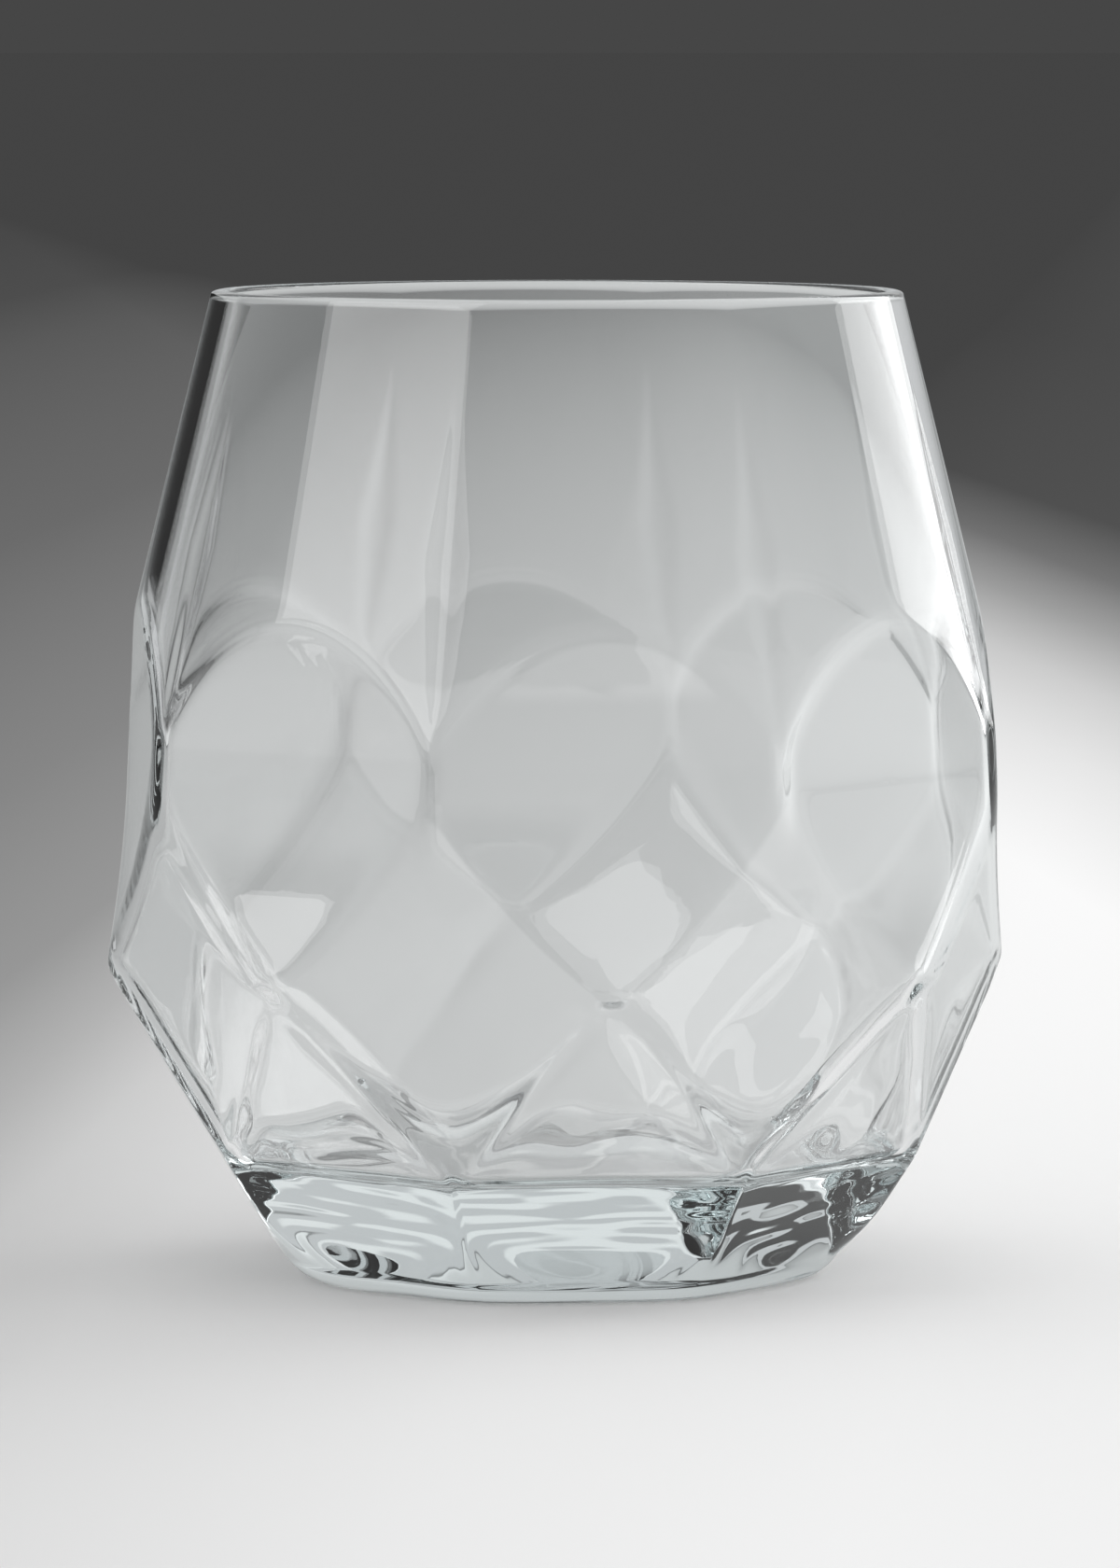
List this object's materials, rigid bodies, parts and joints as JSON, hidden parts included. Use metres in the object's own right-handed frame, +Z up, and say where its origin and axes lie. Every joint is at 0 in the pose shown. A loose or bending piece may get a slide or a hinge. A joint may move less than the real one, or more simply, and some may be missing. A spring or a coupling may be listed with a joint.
{
  "type": "rocks glass",
  "caption": "Clear glass tumbler for short drinks, with a plain tapered lip, a belly cut in shallow scoops, kites and flats, and a thick solid foot.",
  "frame": {"origin": "middle of the standing ring, on the surface that the glass stands on", "axes": "+Z up along the glass's own axis, the pictured front faces -Y"},
  "size_m": [0.0964, 0.0964, 0.105],
  "materials": {
    "clear_glass": "clear soda-lime glass, fire-polished"
  },
  "bodies": {
    "root": {"glass_body": "clear_glass"}
  },
  "joints": []
}
